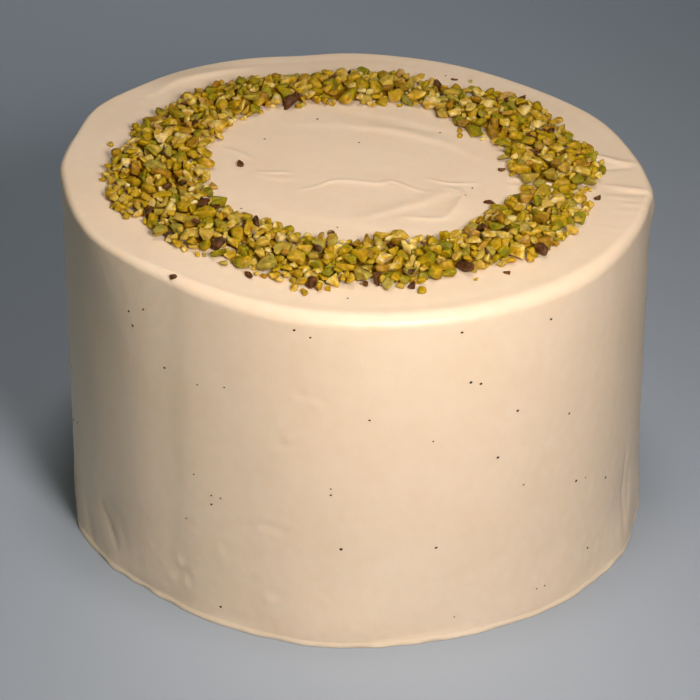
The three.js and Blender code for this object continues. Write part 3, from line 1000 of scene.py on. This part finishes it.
def make_nuts():
    kinds = piece_kinds()
    rows = lay_heap(kinds)
    finishes = {
        "yellow": pistachio("pistachio_heart", 0.08, 0.64, 0.04),
        "green": pistachio("pistachio_outside", 0.46, 0.90, 0.08),
        "skin": pistachio("pistachio_skin", 0.5, 0.9, 1.0),
        "crumb": pistachio("pistachio_crumb", 0.05, 0.75, 0.06),
    }
    made = [make_bed(finishes["crumb"])]
    for seed, (name, pieces) in enumerate(kinds.items()):
        made.append(
            scatter(f"{name}_pistachio", rows[name], pieces, finishes[name], 10 * seed + 3))
    for piece in made:
        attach(piece, "root")
        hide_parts("pistachio_wreath")


# ---- vanilla seeds in the cream ----
SEEDS_ON_WALL = [
    (-101, 104), (-70, 103), (-98, 102), (-138, 92), (-134, 95), (-137, 88), (-129, 79),
    (-121, 78), (-115, 80), (-66, 85), (-68, 86), (-45, 65), (-87, 76), (-75, 68), (-62, 59),
    (-42, 40), (-39, 39), (-31, 33), (-94, 51), (-94, 53), (-122, 48), (-118, 43), (-116, 43),
    (-118, 40), (-124, 32), (-92, 33), (-74, 32), (-37, 13), (-52, 9), (-50, 9), (-70, 7),
    (-116, 6), (-51, 100), (-56, 47), (-58, 73),
]


SEED_HALVES = (0.5, 0.36, 0.16)  # half its length, width and thickness
SEEDS_BEHIND = 34  # on the part of the wall that faces away
SEEDS_ON_TOP = 26
SEEDS_REACH = 81  # how far from the middle of the top they go


def make_seeds():
    rng = np.random.default_rng(23)
    kinds = []
    for i in range(3):
        bm = bmesh.new()
        bmesh.ops.create_icosphere(bm, subdivisions=1, radius=1.0)
        for vert in bm.verts:
            vert.co = vert.co * Vector(SEED_HALVES)
            vert.co *= rng.uniform(0.75, 1.2)
        mesh = bpy.data.meshes.new(f"v{i}")
        bm.to_mesh(mesh)
        bm.free()
        kinds.append(bpy.data.objects.new(f"v{i}", mesh))
    wall = [(degrees(b), z) for b, z in SEEDS_ON_WALL]
    wall += [(rng.uniform(-0.2, np.pi + 0.3), rng.uniform(6, 100))
             for _ in range(SEEDS_BEHIND)]
    rows = []
    for bearing, z in wall:
        flat = np.array([[CAKE_RADIUS * math.cos(bearing), CAKE_RADIUS * math.sin(bearing), z]])
        spot = uneven_cake(flat)[0]
        turn = Vector((math.cos(bearing), math.sin(bearing), 0)).to_track_quat("Z", "Y")
        rows.append((int(rng.integers(3)), *spot, tuple(turn.to_euler()),
                     rng.uniform(0.65, 1.2)))
    for _ in range(SEEDS_ON_TOP):
        bearing, radius = rng.uniform(-np.pi, np.pi), SEEDS_REACH * math.sqrt(rng.uniform())
        x, y = radius * math.cos(bearing), radius * math.sin(bearing)
        spot = on_top(np.array([x]), np.array([y]), 0.0)[0]
        rows.append((int(rng.integers(3)), *spot, (0, 0, rng.uniform(0, 6)),
                     rng.uniform(0.5, 1.1)))
    seeds = scatter("vanilla_seeds", rows, kinds, vanilla_seed(), 1)
    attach(seeds, "root")


# ---- camera, light and floor ----
CAMERA_DISTANCE = 1141.0
CAMERA_ELEVATION = 29.2
CAMERA_ROLL = 1.21
CAMERA_AIM = (-1.9, 1.23, 49.2)
LENS_ON_36 = 192.1


def make_camera():
    data = bpy.data.cameras.new("camera")
    data.lens = LENS_ON_36
    data.sensor_width = 36
    camera = bpy.data.objects.new("camera", data)
    bpy.context.scene.collection.objects.link(camera)
    tip, roll = degrees(CAMERA_ELEVATION), degrees(CAMERA_ROLL)
    forward = Vector((0, math.cos(tip), -math.sin(tip)))
    level = Vector((1, 0, 0))
    upright = level.cross(forward)
    right = level * math.cos(roll) + upright * math.sin(roll)
    up = upright * math.cos(roll) - level * math.sin(roll)
    turn = Matrix((right, up, -forward)).transposed()
    camera.matrix_world = turn.to_4x4()
    camera.location = (Vector(CAMERA_AIM) - forward * CAMERA_DISTANCE) * MM
    data.clip_end = 50
    bpy.context.scene.camera = camera


def area_light(name, azimuth, elevation, distance, size, power, colour, aim=(0, 0, 0.08)):
    """A soft light that looks at its aim, as a rule the cake's middle, from a bearing and a
    height. It is all in metres and watts."""
    data = bpy.data.lights.new(name, "AREA")
    data.shape = "DISK"
    data.size = size
    data.energy = power
    data.color = colour
    light = bpy.data.objects.new(name, data)
    bpy.context.scene.collection.objects.link(light)
    a, e = degrees(azimuth), degrees(elevation)
    away = Vector((math.cos(a) * math.cos(e), math.sin(a) * math.cos(e), math.sin(e)))
    light.location = Vector(aim) + away * distance
    light.rotation_euler = (-away).to_track_quat("-Z", "Y").to_euler()
    return data


def make_light():
    # A grid on the key light lets it fall off a little towards the foot of the cake.
    key = area_light("key", azimuth=-74, elevation=34, distance=0.52, size=0.14, power=0.79,
                     colour=(1.0, 0.908, 0.806))
    key.spread = degrees(96)
    area_light("fill", azimuth=-165, elevation=25, distance=1.6, size=1.0, power=1.48,
               colour=(0.97, 1.0, 0.74))
    # A grid on the softbox overhead keeps its light on the top of the cake.
    overhead = area_light("overhead", azimuth=-90, elevation=86, distance=0.9, size=0.2,
                          power=0.165, colour=(1.0, 0.9, 0.84), aim=(0, 0.02, 0.11))
    overhead.spread = degrees(44)
    # A second gridded softbox brightens the surface behind the cake and leaves the cake alone.
    behind = area_light("behind", azimuth=90, elevation=90, distance=0.9, size=0.3,
                        power=0.3, colour=(0.95, 0.97, 1.0), aim=(-0.12, 0.6, 0.0))
    behind.spread = degrees(60)
    world = bpy.data.worlds.new("soft_surroundings")
    world.use_nodes = True
    background = world.node_tree.nodes["Background"]
    background.inputs["Color"].default_value = (0.88, 1.0, 0.88, 1.0)
    background.inputs["Strength"].default_value = 0.068
    bpy.context.scene.world = world
    bpy.context.scene.view_settings.view_transform = "Standard"


def make_floor():
    reach = 6.0
    corners = [(-reach, -reach, 0), (reach, -reach, 0), (reach, reach, 0), (-reach, reach, 0)]
    floor = mesh_object("floor", corners, [(0, 1, 2, 3)], smooth=False)
    floor.data.materials.append(table_top())


make_camera()
make_cake()
make_nuts()
make_seeds()
make_light()
make_floor()

bpy.context.view_layer.update()
